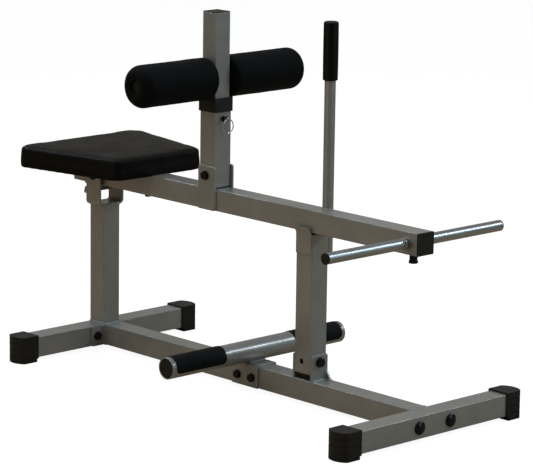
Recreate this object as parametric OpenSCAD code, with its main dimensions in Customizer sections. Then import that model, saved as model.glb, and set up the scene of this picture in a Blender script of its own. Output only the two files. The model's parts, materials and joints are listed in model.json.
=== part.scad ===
// Plate-loaded seated calf raise machine with a swinging lever catch.
// +Z is up, the floor is Z = 0, and +Y runs from the weight pegs to the seat.
// +X is the left of a person on the seat, who faces the pegs.
// Places along the machine are stations: distances behind the front crossbar's front face.

/* [Frame] */
// Side of every square frame tube
tube = 50.8; // [50:0.4:51.6]
// Wall of the square frame tubes
wall = 2.5; // [2:0.1:3]
// Station of the rear crossbar's front face
rear_bar_s = 1094.8; // [1080:1:1110]
// Width over the foot caps of each crossbar
crossbar_w = 573; // [560:1:590]
// Height of the rails above the floor
foot_h = 10; // [8:1:12]
// Thickness of the bracket plates
plate = 5; // [4.5:0.1:5.5]

/* [Lever] */
// Height of the lever beam's centre line
beam_z = 431.4; // [430:0.2:434]
// Station of the beam's front end
beam_front_s = 45; // [40:1:50]
// Station of the beam's rear end
beam_rear_s = 1204; // [1200:1:1210]
// Diameter of the weight pegs
peg_d = 25.4; // [25:0.2:26]
// Width over the ends of the weight pegs
peg_span = 550; // [540:2:570]
// Station of the weight pegs
peg_s = 75; // [72:1:78]

/* [Seat] */
// Station of the seat's front edge
seat_front_s = 914.6; // [912:0.2:918]
// Length of the seat along the beam
seat_len = 316.7; // [310:0.1:320]
// Width of the seat's front edge
seat_front_w = 274; // [260:1:280]
// Width of the seat's rear edge
seat_rear_w = 398; // [390:1:404]
// Thickness of the seat with its board
seat_t = 50; // [46:1:54]

/* [Thigh support] */
// Station of the thigh support's centre line
thigh_s = 722.5; // [720:0.5:725]
// Height of the sleeve's top edge
sleeve_top = 659; // [657:1:661]
// Side of the sliding thigh tube
inner = 45; // [44.4:0.1:45.2]
// Height of the thigh tube's top
thigh_top = 870; // [860:1:880]
// Height of the roller axle at its lowest setting
roller_z = 715; // [714.6:0.2:720]
// Diameter of the foam rollers
roller_d = 100; // [90:1:101]
// Length of each foam roller
roller_len = 222; // [216:1:228]
// Distance between the height holes
hole_pitch = 25.4; // [25:0.1:26]

/* [Catch] */
// Station of the catch post's centre line
catch_s = 394; // [390:1:398]
// Height of the catch pivot
catch_z = 103; // [101:0.5:104]
// Height of the top of the catch handle's grip
handle_top = 878; // [870:1:890]
// Length of the grip
grip_len = 133; // [125:1:140]

/* [Foot bar] */
// Station of the foot bar
foot_bar_s = 580.7; // [575:0.1:590]
// Diameter of the foot bar
foot_bar_d = 50.8; // [50:0.4:52]
// Length of the foot bar
foot_bar_len = 548; // [540:2:560]

/* [Hidden] */

$fn = 64;
half = tube / 2;
corner_r = 1.6;           // outside corner of the square tubes
inner_corner_r = 0.8;     // inside corner of the square tubes
plate_corner_r = 4;       // corner of the bracket plates
fit_gap = 0.1;            // gap round parts that are pressed or pushed together
skirt_corner_r = 2;       // corner of the plug skirts, clear of the tubes' inner corners
run_gap = 0.06;           // radial clearance of every turning pin and bore
through = 1;              // how far a cutter runs past a face

rail_top = foot_h + tube;
rail_z = foot_h + half;
beam_bottom = beam_z - half;
beam_top = beam_z + half;
pivot_s = rear_bar_s + half;

// The origin sits at mid-length, between the front bolt heads and the seat's rear edge.
front_head_h = 9;
mid_s = (seat_front_s + seat_len - front_head_h) / 2;

steel = [0.56, 0.56, 0.57];
plated = [0.72, 0.73, 0.76];
plastic = [0.07, 0.07, 0.07];
rubber = [0.10, 0.10, 0.11];
vinyl = [0.05, 0.05, 0.06];
foam = [0.04, 0.04, 0.05];
brass = [0.75, 0.62, 0.35];
wood = [0.62, 0.48, 0.30];

// ---- placing and shared shapes ----

// Puts children at lateral place x, station s and height z
module at(x, s, z) translate([x, s - mid_s, z]) children();

// Turn a shape drawn along +Z so that it runs along +X, +Y or -Y
module along_x() rotate([0, 90, 0]) children();
module along_y() rotate([-90, 0, 0]) children();
module facing_front() rotate([90, 0, 0]) children();

// One child on each side of the machine
module both_sides() {
    children();
    mirror([1, 0, 0]) children();
}

// Rectangle with true round corners
module round_rect(w, h, r) {
    square([w - 2 * r, h], center = true);
    square([w, h - 2 * r], center = true);
    for (x = [-1, 1], y = [-1, 1])
        translate([x * (w / 2 - r), y * (h / 2 - r)]) circle(r);
}

// Square tube along +Z from the origin
module square_tube(len, side = tube, t = wall, r = corner_r) {
    linear_extrude(len) difference() {
        round_rect(side, side, r);
        round_rect(side - 2 * t, side - 2 * t, inner_corner_r);
    }
}

// Round tube along +Z from the origin
module round_tube(len, r_out, r_in) {
    difference() {
        cylinder(r = r_out, h = len);
        translate([0, 0, -through]) cylinder(r = r_in, h = len + 2 * through);
    }
}

// Bored hole cutter, centred on the origin along Z
module hole(r, len) cylinder(r = r, h = len, center = true);

// Domed round head that rises along +Z from its seat
module dome_head(r, h) {
    rim = h * 0.35;
    crown = h - rim;
    ball_r = (r * r + crown * crown) / (2 * crown);
    cylinder(r = r, h = rim);
    intersection() {
        translate([0, 0, h - ball_r]) sphere(ball_r);
        translate([0, 0, rim / 2]) cylinder(r = r, h = h);
    }
}

// Hexagon head or nut on its washer, rising along +Z
module hex_head(flats, h, washer_r = 0) {
    washer_t = 1.5;
    cylinder(r = max(washer_r, flats * 0.62), h = washer_t);
    cylinder(d = flats / cos(30), h = h, $fn = 6);
}

// Hexagon nut with a bore for its bolt, rising along +Z
module hex_nut(flats, h, bore_r) {
    difference() {
        hex_head(flats, h);
        translate([0, 0, -through]) cylinder(r = bore_r, h = h + 2 * through);
    }
}

// ---- base frame ----

flange_w = 130;
front_bolt_x = 49;
rear_bolt_x = 48.5;
frame_bolt_r = 5;
crossbar_half = crossbar_w / 2 - 16;    // where a crossbar ends inside its caps
rail_front_s = tube + plate;
rail_rear_s = rear_bar_s - plate;

module main_rail() color(steel) {
    at(0, rail_front_s, rail_z) along_y() difference() {
        square_tube(rail_rear_s - rail_front_s);
        // bolts of the foot saddle pass across the rail
        for (s = saddle_bolt_s)
            translate([0, saddle_bolt_drop, s - rail_front_s])
                along_x() hole(saddle_bolt_r + fit_gap, tube + 2 * through);
    }
}

// Flange plate with two bolt holes, its front face on the origin
module flange(h, bolt_x) {
    along_y() linear_extrude(plate) difference() {
        round_rect(flange_w, h, plate_corner_r);
        for (x = [-bolt_x, bolt_x])
            translate([x, 0]) circle(frame_bolt_r + fit_gap);
    }
}

// The ears are let in from the crossbar's edges; the middle is as tall as the rail
module front_flange() color(steel) at(0, tube, rail_z) {
    flange(tube - 2 * plate_corner_r, front_bolt_x);
    translate([-half, 0, -half]) cube([tube, plate, tube]);
}

module rear_flange() color(steel) at(0, rail_rear_s, rail_z) flange(tube, rear_bolt_x);

// Crossbar centred on the origin, with its two frame bolt holes
module crossbar(bolt_x) {
    difference() {
        translate([-crossbar_half, 0, 0]) along_x() square_tube(2 * crossbar_half);
        for (x = [-bolt_x, bolt_x])
            translate([x, 0, 0]) along_y() hole(frame_bolt_r + fit_gap, tube + 2 * through);
    }
}

module front_crossbar() color(steel) at(0, half, rail_z) crossbar(front_bolt_x);

module rear_crossbar() color(steel) at(0, pivot_s, rail_z) crossbar(rear_bolt_x);

cap_wall = 4;
cap_len = 55;
cap_groove = 1.6;
cap_bow = 12;             // how far the cap's end bows out
cap_corner_r = 9;         // rounding between the cap's sides and its bowed end

// Plan of a foot cap, its inner end on X = 0, shrunk by inset on the free sides
module foot_cap_plan(inset = 0) {
    side_y = tube / 2 + cap_wall;
    bow_r = (side_y * side_y + cap_bow * cap_bow) / (2 * cap_bow);
    bow_x = cap_len - bow_r;
    // centres of the corner circles, each inside the bow and along a side
    corner_y = side_y - cap_corner_r;
    reach = sqrt(pow(bow_r - cap_corner_r, 2) - corner_y * corner_y);
    translate([0, inset - side_y]) square([bow_x + reach, 2 * (side_y - inset)]);
    for (y = [-corner_y, corner_y]) translate([bow_x + reach, y]) circle(cap_corner_r - inset);
    intersection() {
        translate([bow_x, 0]) circle(bow_r - inset, $fn = 96);
        polygon([[bow_x, 0], [bow_x + 2 * reach, -2 * corner_y], [bow_x + 2 * reach, 2 * corner_y]]);
    }
}

// Socket cap that closes a crossbar end and stands on the floor
module foot_cap() {
    cap_h = foot_h + tube + cap_wall;
    step_x = 5;
    step_h = foot_h - 2;
    grooves = 3;
    groove_h = 2.2;
    difference() {
        linear_extrude(cap_h) foot_cap_plan();
        // socket for the tube
        translate([-through, 0, foot_h + half]) along_x()
            linear_extrude(crossbar_half - (crossbar_w / 2 - cap_len) + through + fit_gap)
                round_rect(tube + 2 * fit_gap, tube + 2 * fit_gap, corner_r);
        // raised step at the lower inner corner
        translate([-through, -tube, -through]) cube([step_x + through, 2 * tube, step_h + through]);
        // grip grooves round the free sides
        for (i = [1:grooves])
            translate([0, 0, i * cap_h / (grooves + 1)]) linear_extrude(groove_h) difference() {
                translate([0, -tube]) square([2 * cap_len, 2 * tube]);
                foot_cap_plan(cap_groove);
            }
    }
}

module left_foot_cap(s) color(plastic) at(crossbar_w / 2 - cap_len, s, 0) foot_cap();
module right_foot_cap(s) mirror([1, 0, 0]) left_foot_cap(s);

module front_left_foot_cap() left_foot_cap(half);
module front_right_foot_cap() right_foot_cap(half);
module rear_left_foot_cap() left_foot_cap(pivot_s);
module rear_right_foot_cap() right_foot_cap(pivot_s);

frame_nut_h = 9;

module front_crossbar_bolts() color(plastic) {
    head_r = 15.2;
    both_sides() at(front_bolt_x, 0, rail_z) {
        facing_front() dome_head(head_r, front_head_h);
        along_y() cylinder(r = frame_bolt_r, h = tube + plate + frame_nut_h);
        translate([0, tube + plate, 0]) along_y() hex_head(17, frame_nut_h);
    }
}

module rear_crossbar_bolts() color(plastic) {
    both_sides() at(rear_bolt_x, rail_rear_s, rail_z) {
        facing_front() hex_head(17, 7);
        along_y() cylinder(r = frame_bolt_r, h = plate + tube + frame_nut_h);
        translate([0, plate + tube, 0]) along_y() hex_head(17, frame_nut_h);
    }
}

// ---- seat post and lever pivot ----

clevis_w = 76.2;          // outside width of the U-shaped clevis
clevis_len = tube;        // length of its cheeks along the machine
clevis_bottom = 355;
clevis_top = beam_z + 15.6;
clevis_bend = 11;
pivot_bolt_r = 6;
pivot_washer_r = 13.5;
cheek_in = clevis_w / 2 - plate;

// Stop rod welded across the cheeks' rear edges, below the beam
stop_r = 4.75;
stop_s = pivot_s + clevis_len / 2 + 4;
stop_z = 386;
stop_h = 11;              // height of the plate that stands on the rod

module seat_post() color(steel) {
    at(0, pivot_s, rail_top) square_tube(clevis_bottom - rail_top);
}

// U section of the clevis in the X-Z plane, drawn with its bottom on the origin
module clevis_section(w, h, r) {
    translate([-w / 2, r]) square([w, h - r]);
    translate([-w / 2 + r, 0]) square([w - 2 * r, r + through]);
    for (x = [-1, 1]) translate([x * (w / 2 - r), r]) circle(r);
}

module clevis() color(steel) {
    h = clevis_top - clevis_bottom;
    top_r = 14;
    at(0, pivot_s, clevis_bottom) difference() {
        intersection() {
            translate([0, clevis_len / 2, 0]) facing_front()
                linear_extrude(clevis_len) clevis_section(clevis_w, h, clevis_bend);
            // rounded cheeks seen from the side
            translate([-clevis_w, 0, h / 2]) along_x() linear_extrude(2 * clevis_w) union() {
                round_rect(h, clevis_len, top_r);
                translate([h / 4, 0]) square([h / 2, clevis_len], center = true);
            }
        }
        translate([0, clevis_len, plate]) facing_front() linear_extrude(2 * clevis_len)
            clevis_section(clevis_w - 2 * plate, h, clevis_bend - plate);
        translate([0, 0, beam_z - clevis_bottom]) along_x() hole(pivot_bolt_r + fit_gap, clevis_w + 2);
    }
    at(-clevis_w / 2, stop_s, stop_z) along_x() cylinder(r = stop_r, h = clevis_w);
    at(-clevis_w / 2, stop_s - plate / 2, stop_z) cube([clevis_w, plate, stop_h]);
}

module lever_pivot_bolt() color(plastic) {
    at(-clevis_w / 2, pivot_s, beam_z) {
        mirror([1, 0, 0]) along_x() hex_head(19, 8, pivot_washer_r);
        along_x() cylinder(r = pivot_bolt_r, h = clevis_w + 12);
    }
}

module lever_pivot_nut() color(plastic) {
    at(clevis_w / 2, pivot_s, beam_z) along_x() hex_nut(19, 10, pivot_bolt_r);
}

// ---- catch bracket ----

side_gap = 0.6;           // running gap between the catch post and each bracket plate
catch_bolt_r = 6;
catch_front_s = catch_s - half - side_gap;
catch_rear_s = catch_s + half + side_gap;

module catch_plate() {
    plate_top = 121;
    h = plate_top - rail_top;
    top_r = 7;
    facing_front() linear_extrude(plate) difference() {
        translate([0, h / 2]) union() {
            round_rect(tube, h, top_r);
            translate([0, -h / 4]) square([tube, h / 2], center = true);
        }
        translate([0, catch_z - rail_top]) circle(catch_bolt_r + fit_gap);
    }
}

module catch_bracket_plates() color(steel) {
    at(0, catch_front_s, rail_top) catch_plate();
    at(0, catch_rear_s + plate, rail_top) catch_plate();
}

module catch_gusset() color(steel) {
    gusset_t = 5;
    reach = 16;
    rise = 21;
    at(half - gusset_t - corner_r / 2, catch_front_s - plate, rail_top) along_x()
        linear_extrude(gusset_t) polygon([[0, 0], [-rise, 0], [0, -reach]]);
}

module catch_pivot_bolt() color(plastic) {
    at(0, catch_front_s - plate, catch_z) {
        facing_front() hex_head(19, 8);
        along_y() cylinder(r = catch_bolt_r, h = tube + 2 * (side_gap + plate) + 12);
    }
}

module catch_pivot_nut() color(plastic) {
    at(0, catch_rear_s + plate, catch_z) along_y() hex_nut(19, 10, catch_bolt_r);
}

// ---- foot bar ----

saddle_len = 86.6;
saddle_bolt_r = 4;
saddle_bolt_s = [foot_bar_s - 23.8, foot_bar_s + 23.9];
saddle_bolt_drop = 2;     // how far the bolts sit below the rail's centre line
saddle_z = rail_top + plate;
foot_bar_z = saddle_z + foot_bar_d / 2;
foot_bar_wall = 2.5;

module foot_saddle() color(steel) {
    h = tube + plate;
    at(0, foot_bar_s, saddle_z) difference() {
        translate([0, -saddle_len / 2, 0]) along_y() linear_extrude(saddle_len)
            clevis_section(tube + 2 * plate, h, plate);
        translate([0, -saddle_len, -plate - h / 2]) along_y()
            linear_extrude(2 * saddle_len) square([tube, h], center = true);
        for (s = saddle_bolt_s)
            translate([0, s - foot_bar_s, rail_z - saddle_bolt_drop - saddle_z])
                along_x() hole(saddle_bolt_r + fit_gap, 2 * tube);
    }
}

module foot_saddle_bolts() color(plastic) {
    outer = half + plate;
    for (s = saddle_bolt_s) at(-outer, s, rail_z - saddle_bolt_drop) {
        mirror([1, 0, 0]) along_x() hex_head(17, 7);
        along_x() cylinder(r = saddle_bolt_r, h = 2 * outer + 9);
        translate([2 * outer, 0, 0]) along_x() hex_head(17, 7);
    }
}

module foot_bar() color(steel) {
    at(-foot_bar_len / 2, foot_bar_s, foot_bar_z) along_x()
        round_tube(foot_bar_len, foot_bar_d / 2, foot_bar_d / 2 - foot_bar_wall);
}

module foot_bar_plugs() color(plastic) {
    plug_len = 14;
    sink = 1;
    both_sides() at(foot_bar_len / 2 - sink, foot_bar_s, foot_bar_z) mirror([1, 0, 0]) along_x()
        round_tube_plug(foot_bar_d / 2 - foot_bar_wall - fit_gap, plug_len, 3);
}

// Cup-shaped plug along +Z, closed at its start
module round_tube_plug(r, len, skin) {
    difference() {
        cylinder(r = r, h = len);
        translate([0, 0, skin]) cylinder(r = r - 2, h = len);
    }
}

// Anti-slip sheet over the upper part of the foot bar
module foot_grip() {
    start_x = 110;
    end_x = 263;
    sheet = 1.2;
    below = 25;           // how far below level the sheet reaches, in degrees
    bar_r = foot_bar_d / 2;
    at(start_x, foot_bar_s, foot_bar_z) along_x() rotate([0, 0, 90 - below])
        rotate_extrude(angle = 180 + 2 * below)
            translate([bar_r, 0]) square([sheet, end_x - start_x]);
}

module foot_grip_left() color(rubber) foot_grip();
module foot_grip_right() color(rubber) mirror([1, 0, 0]) foot_grip();

// ---- lever ----

pivot_tube_r = 11;
bush_r = 8;
seat_bolt_r = 4;
seat_bolt_s = [960, 1184];
bumper_s = peg_s + 3;
bumper_screw_r = 2.5;

module lever_beam() color(steel) {
    len = beam_rear_s - beam_front_s;
    difference() {
        at(0, beam_front_s, beam_z) along_y() square_tube(len);
        at(0, pivot_s, beam_z) along_x() hole(pivot_tube_r, tube + 2 * through);
        at(0, peg_s, beam_z) along_x() hole(peg_spigot_r + fit_gap, tube + 2 * through);
        at(0, bumper_s, beam_bottom) hole(bumper_screw_r + fit_gap, 4 * wall);
        for (s = seat_bolt_s) at(0, s, beam_z) hole(seat_bolt_r + fit_gap, tube + 2 * through);
    }
}

// Square end cap that rises along +Z, with its skirt pushed into the tube below
module square_cap(side, t, skin, skirt) {
    inside = side - 2 * t - 2 * fit_gap;
    linear_extrude(skin) round_rect(side, side, corner_r);
    translate([0, 0, -skirt]) difference() {
        linear_extrude(skirt) round_rect(inside, inside, skirt_corner_r);
        translate([0, 0, -through]) linear_extrude(skirt) square(inside - 5, center = true);
    }
}

module beam_end_caps() color(plastic) {
    at(0, beam_front_s, beam_z) facing_front() square_cap(tube, wall, 3, 14);
    at(0, beam_rear_s, beam_z) along_y() square_cap(tube, wall, 3, 14);
}

module pivot_tube() color(steel) {
    at(-half, pivot_s, beam_z) along_x() round_tube(tube, pivot_tube_r, bush_r);
}

// Flanged bushes that carry the beam on the pivot bolt
module pivot_bushes() color(brass) {
    side_play = 0.3;
    flange_t = cheek_in - half - side_play;
    depth = 20;
    both_sides() at(half - depth, pivot_s, beam_z) along_x() difference() {
        union() {
            cylinder(r = bush_r, h = depth);
            translate([0, 0, depth]) cylinder(r = 14, h = flange_t);
        }
        translate([0, 0, -through]) cylinder(r = pivot_bolt_r + run_gap, h = depth + flange_t + 2 * through);
    }
}

peg_wall = 2.5;
peg_cap_t = 3;
peg_tube_half = peg_span / 2 - peg_cap_t;
peg_spigot_r = peg_d / 2 - 0.2;         // turned end that sits in the beam's wall

// Peg tube on +X, from the beam's inner wall out to its cap
module weight_peg() {
    bore_r = peg_d / 2 - peg_wall;
    at(half, peg_s, beam_z) along_x() round_tube(peg_tube_half - half, peg_d / 2, bore_r);
    at(half - wall, peg_s, beam_z) along_x() round_tube(wall, peg_spigot_r, bore_r);
}

module weight_peg_left() color(plated) weight_peg();
module weight_peg_right() color(plated) mirror([1, 0, 0]) weight_peg();

module peg_caps() color(plastic) {
    skirt = 14;
    both_sides() at(peg_tube_half, peg_s, beam_z) along_x() {
        cylinder(r = peg_d / 2, h = peg_cap_t);
        translate([0, 0, -skirt]) cylinder(r = peg_d / 2 - peg_wall - fit_gap, h = skirt);
    }
}

module rubber_bumper() color(rubber) {
    neck_r = 9;
    lip_r = 10.4;
    drop = 23;
    lip_h = 7;
    at(0, bumper_s, beam_bottom) {
        translate([0, 0, -drop + lip_h]) cylinder(r = neck_r, h = drop - lip_h);
        translate([0, 0, -drop]) rotate_extrude() {
            square([lip_r - 2, lip_h]);
            translate([0, 2]) square([lip_r, lip_h - 4]);
            for (z = [2, lip_h - 2]) translate([lip_r - 2, z]) intersection() {
                circle(2);
                translate([-lip_r + 2, -lip_h]) square([2 * lip_r, 2 * lip_h]);
            }
        }
        cylinder(r = bumper_screw_r, h = 6);
    }
}

// ---- thigh support: plates, sleeve and height pin on the lever ----

thigh_plate_top = 510;
thigh_plate_front_s = thigh_s - half - 6;
thigh_bolt_r = 5;
thigh_bolt_z = 487;
sleeve_wall = 2.4;
sleeve_bottom = beam_top + 3;
pin_z = 621;
pin_r = 4;

module thigh_plate() {
    len = thigh_s + half - thigh_plate_front_s;
    h = thigh_plate_top - beam_bottom;
    at(half, thigh_plate_front_s + len / 2, beam_bottom + h / 2) along_x()
        linear_extrude(plate) difference() {
            round_rect(h, len, plate_corner_r);
            translate([beam_bottom + h / 2 - thigh_bolt_z, thigh_s - thigh_plate_front_s - len / 2])
                circle(thigh_bolt_r + fit_gap);
        }
}

module thigh_plate_left() color(steel) thigh_plate();
module thigh_plate_right() color(steel) mirror([1, 0, 0]) thigh_plate();

module thigh_sleeve() color(steel) {
    difference() {
        at(0, thigh_s, sleeve_bottom) square_tube(sleeve_top - sleeve_bottom, tube, sleeve_wall);
        at(0, thigh_s, thigh_bolt_z) along_x() hole(thigh_bolt_r + fit_gap, tube + 2 * through);
        at(0, thigh_s - half, pin_z) along_y() hole(pin_r + run_gap, 4 * sleeve_wall);
    }
}

// Plastic foot that closes the sleeve and rests on the beam
module sleeve_plug() color(plastic) {
    at(0, thigh_s, sleeve_bottom) mirror([0, 0, 1]) square_cap(tube, sleeve_wall, 3, 12);
}

// Bearing collar that guides the thigh tube in the sleeve's top
module sleeve_collar() color(plastic) {
    collar_wall = 4;
    collar_r = 5;
    skirt = 22;
    lip = 11;
    side = tube + 2 * collar_wall;
    bore = inner + 0.4;
    at(0, thigh_s, sleeve_top - skirt) difference() {
        linear_extrude(skirt + lip) round_rect(side, side, collar_r);
        translate([0, 0, -through]) linear_extrude(skirt + through)
            round_rect(tube + 2 * fit_gap, tube + 2 * fit_gap, corner_r);
        linear_extrude(skirt + lip + through) round_rect(bore, bore, corner_r);
    }
}

module thigh_plate_bolt() color(plastic) {
    outer = half + plate;
    at(-outer, thigh_s, thigh_bolt_z) {
        mirror([1, 0, 0]) along_x() hex_head(18, 8);
        along_x() cylinder(r = thigh_bolt_r, h = 2 * outer + 10);
        translate([2 * outer, 0, 0]) along_x() hex_head(18, 8);
    }
}

// Barrel of the spring pin: a hollow for the spring behind a thin end wall
barrel_r = 6.5;
barrel_len = 9;
barrel_end = 1.2;
spring_room_r = 5.5;
sleeve_face_s = thigh_s - half;

module pin_barrel() color(plastic) {
    at(0, sleeve_face_s - barrel_len, pin_z) along_y() difference() {
        cylinder(r = barrel_r, h = barrel_len);
        translate([0, 0, barrel_end]) cylinder(r = spring_room_r, h = barrel_len);
        translate([0, 0, -through]) cylinder(r = pin_r + run_gap, h = barrel_len);
    }
}

// Coil spring, drawn squeezed by the drawn-out pin
module pin_spring() color(plated) {
    turns = 2.5;
    wire_r = 0.3;
    coil_r = 4.75;
    squeezed = 1.7;
    steps = 16 * turns;
    at(0, sleeve_face_s - barrel_len + barrel_end + wire_r + 0.1, pin_z) along_y()
        for (i = [0:steps - 1]) hull() for (k = [i, i + 1])
            rotate([0, 0, k * 360 * turns / steps])
                translate([coil_r, 0, k * squeezed / steps]) sphere(wire_r, $fn = 6);
}

// ---- seat ----

seat_front_r = 28;
seat_rear_r = 34;
board_t = 12;

// Plan of the tapered seat, shrunk by inset all round
module seat_plan(inset = 0) {
    taper = atan((seat_rear_w - seat_front_w) / 2 / seat_len);
    // a corner circle touches both of the edges that it joins
    front_x = seat_front_w / 2 - seat_front_r * (1 - sin(taper)) / cos(taper);
    rear_x = seat_rear_w / 2 - seat_rear_r * (1 + sin(taper)) / cos(taper);
    hull() for (side = [-1, 1]) {
        translate([side * front_x, seat_front_r]) circle(seat_front_r - inset, $fn = 40);
        translate([side * rear_x, seat_len - seat_rear_r]) circle(seat_rear_r - inset, $fn = 40);
    }
}

module seat_pad() color(vinyl) {
    wrap = 3;             // how far the cover wraps outside the board
    lift = 0.8;
    at(0, seat_front_s, beam_top + lift) difference() {
        linear_extrude(seat_t - lift) seat_plan();
        translate([0, 0, -lift]) linear_extrude(board_t + fit_gap) seat_plan(wrap);
    }
}

module seat_board() color(wood) {
    at(0, seat_front_s, beam_top) difference() {
        linear_extrude(board_t) seat_plan(3.5);
        for (s = seat_bolt_s) translate([0, s - seat_front_s, 0]) hole(tee_nut_r, 4 * board_t);
    }
}

tee_nut_r = 5.5;

module seat_tee_nuts() color(plated) {
    for (s = seat_bolt_s) at(0, s, beam_top)
        round_tube(board_t - 0.5, tee_nut_r - fit_gap, seat_bolt_r + fit_gap / 2);
}

module seat_bolts() color(plastic) {
    for (s = seat_bolt_s) at(0, s, beam_bottom) {
        mirror([0, 0, 1]) hex_head(14, 9);
        cylinder(r = seat_bolt_r, h = tube + board_t - 2);
    }
}

// ---- catch ----

catch_bottom = catch_z - 27;
catch_top = beam_bottom - 5;
catch_tube_r = 10;
handle_r = 12.7;
handle_x = 41.5;
handle_s = catch_s - 6;
handle_bottom = 340;

module catch_post() color(steel) {
    weld_hole_r = 6;
    difference() {
        at(0, catch_s, catch_bottom) square_tube(catch_top - catch_bottom);
        at(0, catch_s, catch_z) along_y() hole(catch_tube_r, tube + 2 * through);
        at(-half, catch_s + 3, catch_z) along_x() hole(weld_hole_r, 4 * wall);
    }
}

// Guide plate on the catch post: flat below, flared above to gather the beam
module catch_lip() color(steel) {
    lip_t = 3;
    flat = 46;
    flare_h = 17;
    flare = 8;
    inner_face = [[0, -flat], [0, 0], [-flare, flare_h]];
    outer_face = [[-flare - lip_t, flare_h], [-lip_t, 0], [-lip_t, -flat]];
    at(-half, catch_s + half - 1, catch_top) facing_front() linear_extrude(tube - 2)
        polygon(concat(inner_face, outer_face));
}

module catch_pivot_tube() color(steel) {
    at(0, catch_s - half, catch_z) along_y() round_tube(tube, catch_tube_r, catch_bolt_r + run_gap);
}

// Plug whose round sole clears the rail as the post swings
module catch_foot_plug() color(plastic) {
    sole_r = catch_z - rail_top - 1;
    skirt = 10;
    inside = tube - 2 * wall - 2 * fit_gap;
    intersection() {
        at(0, catch_s, catch_z - sole_r) linear_extrude(catch_bottom - (catch_z - sole_r))
            round_rect(tube, tube, corner_r);
        at(0, catch_s - tube, catch_z) along_y() cylinder(r = sole_r, h = 2 * tube);
    }
    at(0, catch_s, catch_bottom) difference() {
        linear_extrude(skirt) round_rect(inside, inside, skirt_corner_r);
        translate([0, 0, -through]) linear_extrude(skirt + 2 * through) square(inside - 5, center = true);
    }
}

module catch_rest_pad() color(rubber) {
    pad = tube - 4;
    squash = 0.05;
    at(0, catch_s, catch_top) linear_extrude(beam_bottom - catch_top - squash) round_rect(pad, pad, 3);
}

module catch_handle() color(steel) {
    tab_h = 46;
    tab_w = 10;
    difference() {
        union() {
            at(handle_x, handle_s, handle_bottom) cylinder(r = handle_r, h = handle_top - 4 - handle_bottom);
            at(half, handle_s - tab_w / 2, handle_bottom + 5) cube([handle_x - half, tab_w, tab_h]);
        }
        at(handle_x, handle_s, handle_bottom - through)
            cylinder(r = handle_r - 2, h = handle_top - 8 - handle_bottom);
    }
}

module handle_grip() color(rubber) {
    grip_r = 17.3;
    edge = 4;
    at(handle_x, handle_s, handle_top - grip_len) difference() {
        rotate_extrude() {
            square([grip_r - edge, grip_len]);
            translate([0, edge]) square([grip_r, grip_len - 2 * edge]);
            for (z = [edge, grip_len - edge]) translate([grip_r - edge, z]) circle(edge);
        }
        translate([0, 0, -through]) cylinder(r = handle_r + 0.02, h = grip_len - 4 + through);
    }
}

// ---- sliding thigh carriage ----

thigh_bottom = 500;
inner_wall = 2;
axle_r = 12.7;
axle_half = 240;
roller_in = 28;
height_holes = 5;

module thigh_tube() color(steel) {
    difference() {
        at(0, thigh_s, thigh_bottom) square_tube(thigh_top - thigh_bottom - 2, inner, inner_wall);
        at(0, thigh_s, roller_z) along_x() hole(axle_r + fit_gap, tube);
        for (i = [0:height_holes - 1])
            at(0, thigh_s - inner / 2, pin_z - i * hole_pitch) along_y() hole(pin_r + 0.4, 3 * inner_wall);
    }
}

module thigh_tube_plug() color(plastic) {
    at(0, thigh_s, thigh_top - 2) {
        linear_extrude(2) round_rect(inner, inner, corner_r);
        mirror([0, 0, 1]) difference() {
            linear_extrude(12) round_rect(inner - 2 * inner_wall - 0.2, inner - 2 * inner_wall - 0.2, 1.5);
            linear_extrude(12 + through) square(inner - 2 * inner_wall - 6, center = true);
        }
    }
}

module roller_axle() color(steel) {
    at(-axle_half, thigh_s, roller_z) along_x() round_tube(2 * axle_half, axle_r, axle_r - 2);
}

cap_flange_t = 2.5;
cap_flange_r = 15;

module axle_caps() color(plastic) {
    skirt = 16;
    both_sides() at(axle_half, thigh_s, roller_z) along_x() {
        cylinder(r = cap_flange_r, h = cap_flange_t);
        translate([0, 0, -skirt]) cylinder(r = axle_r - 2 - fit_gap, h = skirt);
    }
}

// Foam roller on +X with a running bore and a recess for the axle cap
module foam_roller() {
    r = roller_d / 2;
    inner_round = 12;
    outer_round = 22;
    recess_s = axle_half - roller_in - 0.5;
    at(roller_in, thigh_s, roller_z) along_x() difference() {
        rotate_extrude($fn = 96) {
            square([r - outer_round, roller_len]);
            translate([0, inner_round]) square([r, roller_len - inner_round - outer_round]);
            square([r - inner_round, roller_len / 2]);
            translate([r - inner_round, inner_round]) circle(inner_round);
            translate([r - outer_round, roller_len - outer_round]) circle(outer_round);
        }
        translate([0, 0, -through]) cylinder(r = axle_r + run_gap, h = roller_len);
        translate([0, 0, recess_s]) cylinder(r = cap_flange_r + 0.6, h = roller_len);
    }
}

module foam_roller_left() color(foam) foam_roller();
module foam_roller_right() color(foam) mirror([1, 0, 0]) foam_roller();

// ---- spring pin, drawn out clear of the thigh tube ----

pin_pull = 4;             // travel between locked and drawn out
pin_tip_s = sleeve_face_s + 2;
pin_head_len = 8;
pin_head_r = 5;
pin_head_s = sleeve_face_s - barrel_len - 0.5 - pin_pull;
ring_wire_r = 1.25;
ring_r = 16.25;

module pull_pin() color(plated) {
    collar_r = 5.3;
    collar_t = 1;
    collar_s = sleeve_face_s - barrel_len + barrel_end + 2.6;
    eye_r = 2.1;
    difference() {
        union() {
            at(0, pin_head_s, pin_z) along_y() cylinder(r = pin_r, h = pin_tip_s - pin_head_s);
            at(0, pin_head_s, pin_z) facing_front() dome_head(pin_head_r, pin_head_len);
            at(0, collar_s, pin_z) along_y() cylinder(r = collar_r, h = collar_t);
        }
        at(0, ring_s, pin_z) along_x() hole(eye_r, 4 * pin_head_r);
    }
}

ring_s = pin_head_s - pin_head_len / 2;

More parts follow.
